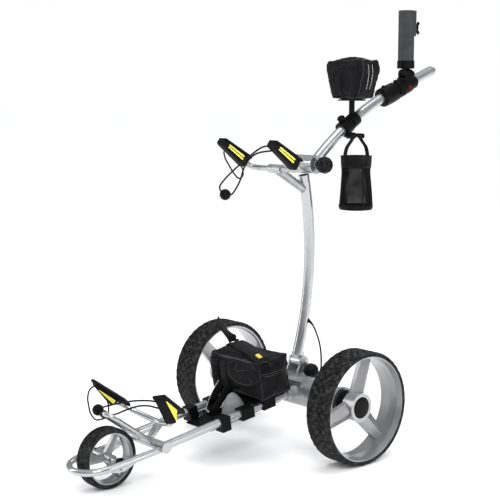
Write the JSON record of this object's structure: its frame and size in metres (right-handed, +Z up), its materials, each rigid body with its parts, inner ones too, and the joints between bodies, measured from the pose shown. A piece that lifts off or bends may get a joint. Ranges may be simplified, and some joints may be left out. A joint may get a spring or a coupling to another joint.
{
  "type": "electric golf trolley",
  "caption": "Powered three-wheel golf trolley with folding upright and handle, two padded bag cradles, battery bag, umbrella tube, scorecard pouch and mesh cup holder.",
  "frame": {"origin": "centre of the footprint on the ground, under the middle of the bounding box", "axes": "+Z up, -Y forwards (front wheel), +Y towards the handle end, +X to the side of the cup holder (the trolley's left)"},
  "size_m": [0.619, 1.2641, 1.198],
  "materials": {
    "silver_paint": "metallic silver, satin",
    "silver_rim": "pale silver, satin",
    "steel": "plain steel",
    "tyre_rubber": "matt",
    "black_rubber": "matt",
    "yellow_rubber": "satin",
    "black_plastic": "fine grain",
    "grey_plastic": "fine grain",
    "dark_plastic": "satin",
    "red_plastic": "gloss",
    "black_fabric": "woven nylon",
    "circuit_board": "board and chips"
  },
  "bodies": {
    "chassis": {"side_rails": "silver_paint", "front_crossbar": "silver_paint", "front_loop": "silver_paint", "front_axle": "steel", "base_rest_hoop": "silver_paint", "base_rest_buffer": "black_rubber", "lower_cradle": "silver_paint", "lower_pads": "black_rubber", "lower_pad_inserts": "yellow_rubber", "lower_bungee": "black_rubber", "lower_catch_loop": "black_rubber", "lower_bungee_ball": "black_plastic", "battery_tray": "black_plastic", "rail_clips": "black_plastic", "tray_guard": "grey_plastic", "battery": "dark_plastic", "battery_bag": "black_fabric", "bag_straps": "black_fabric", "axle_housing": "silver_paint", "drive_motors": "steel", "controller": "circuit_board", "hinge_bracket": "silver_paint", "pivot_bolts": "steel"},
    "hinge_knob": {"lower_knob": "black_plastic"},
    "wheel_l": {"tyre_left": "tyre_rubber", "rim_left": "silver_rim", "hub_cap_left": "black_plastic", "wheel_shaft_left": "steel"},
    "wheel_r": {"tyre_right": "tyre_rubber", "rim_right": "silver_rim", "hub_cap_right": "black_plastic", "wheel_shaft_right": "steel"},
    "wheel_f": {"front_tyre": "tyre_rubber", "front_rim": "silver_rim"},
    "upright": {"upright_tube": "silver_paint", "hinge_barrel": "silver_paint", "upper_cradle": "silver_paint", "upper_pads": "black_rubber", "upper_pad_inserts": "yellow_rubber", "upper_bungee": "black_rubber", "upper_catch_loop": "black_rubber", "upper_bungee_ball": "black_plastic", "motor_cable": "black_rubber", "cable_grommet": "black_rubber"},
    "handle_knob": {"upper_knob": "black_plastic"},
    "handle": {"handle_tube": "silver_paint", "handle_end_cap": "silver_paint", "control_housing": "black_plastic", "umbrella_clamp": "black_plastic", "scorecard_bag": "black_fabric", "scorecard_bracket": "black_plastic", "cup_clamp": "black_plastic"},
    "dial": {"speed_dial": "black_plastic"},
    "button": {"power_button": "red_plastic"},
    "umbrella": {"umbrella_joint": "black_plastic", "umbrella_tube": "dark_plastic"},
    "umbrella_screw_body": {"umbrella_screw": "black_plastic"},
    "lever": {"tilt_lever": "black_plastic"},
    "cup_knob_body": {"cup_knob": "black_plastic"},
    "cup": {"cup_holder": "black_fabric"}
  },
  "joints": [
    {"name": "rear_wheel_left", "type": "hinge", "parent": "chassis", "child": "wheel_l", "pos_m": [0.2705, 0.076, 0.15], "axis": [1, 0, 0], "continuous": true},
    {"name": "rear_wheel_right", "type": "hinge", "parent": "chassis", "child": "wheel_r", "pos_m": [-0.2705, 0.076, 0.15], "axis": [1, 0, 0], "continuous": true},
    {"name": "front_wheel", "type": "hinge", "parent": "chassis", "child": "wheel_f", "pos_m": [0, -0.527, 0.076], "axis": [1, 0, 0], "continuous": true},
    {"name": "upright_fold", "type": "hinge", "parent": "chassis", "child": "upright", "pos_m": [0, 0.124, 0.218], "axis": [1, 0, 0], "range_deg": [0, 60], "deforming": ["motor_cable"]},
    {"name": "handle_fold", "type": "hinge", "parent": "upright", "child": "handle", "pos_m": [0, 0.132, 0.77], "axis": [1, 0, 0], "range_deg": [-94, 0]},
    {"name": "hinge_knob_turn", "type": "hinge", "parent": "chassis", "child": "hinge_knob", "pos_m": [0.045, 0.128, 0.197], "axis": [1, 0, 0], "range_deg": [0, 360]},
    {"name": "handle_knob_turn", "type": "hinge", "parent": "handle", "child": "handle_knob", "pos_m": [0.08, 0.132, 0.77], "axis": [1, 0, 0], "range_deg": [0, 360]},
    {"name": "speed_dial_turn", "type": "hinge", "parent": "handle", "child": "dial", "pos_m": [0.0644, 0.46539, 0.9683], "axis": [1, 0, 0], "range_deg": [0, 270]},
    {"name": "power_button_press", "type": "slide", "parent": "handle", "child": "button", "axis": [-1, 0, 0], "range_m": [0, 0.0025], "stiffness_N_per_m": 300},
    {"name": "umbrella_tilt", "type": "hinge", "parent": "handle", "child": "umbrella", "pos_m": [0.0444, 0.506, 1.018], "axis": [1, 0, 0], "range_deg": [-12, 12]},
    {"name": "umbrella_screw_turn", "type": "hinge", "parent": "umbrella", "child": "umbrella_screw_body", "pos_m": [0.0444, 0.546, 1.15], "axis": [0, 1, 0], "range_deg": [0, 360]},
    {"name": "tilt_lever_swing", "type": "hinge", "parent": "handle", "child": "lever", "pos_m": [0.07, 0.506, 1.018], "axis": [1, 0, 0], "range_deg": [-20, 34]},
    {"name": "cup_clamp_knob_turn", "type": "hinge", "parent": "handle", "child": "cup_knob_body", "pos_m": [0.0444, 0.25588, 0.86778], "axis": [0, -0.553, 0.8332], "range_deg": [0, 360]},
    {"name": "cup_swing", "type": "hinge", "parent": "handle", "child": "cup", "pos_m": [0.09, 0.254, 0.846], "axis": [1, 0, 0], "range_deg": [-10, 10]}
  ]
}
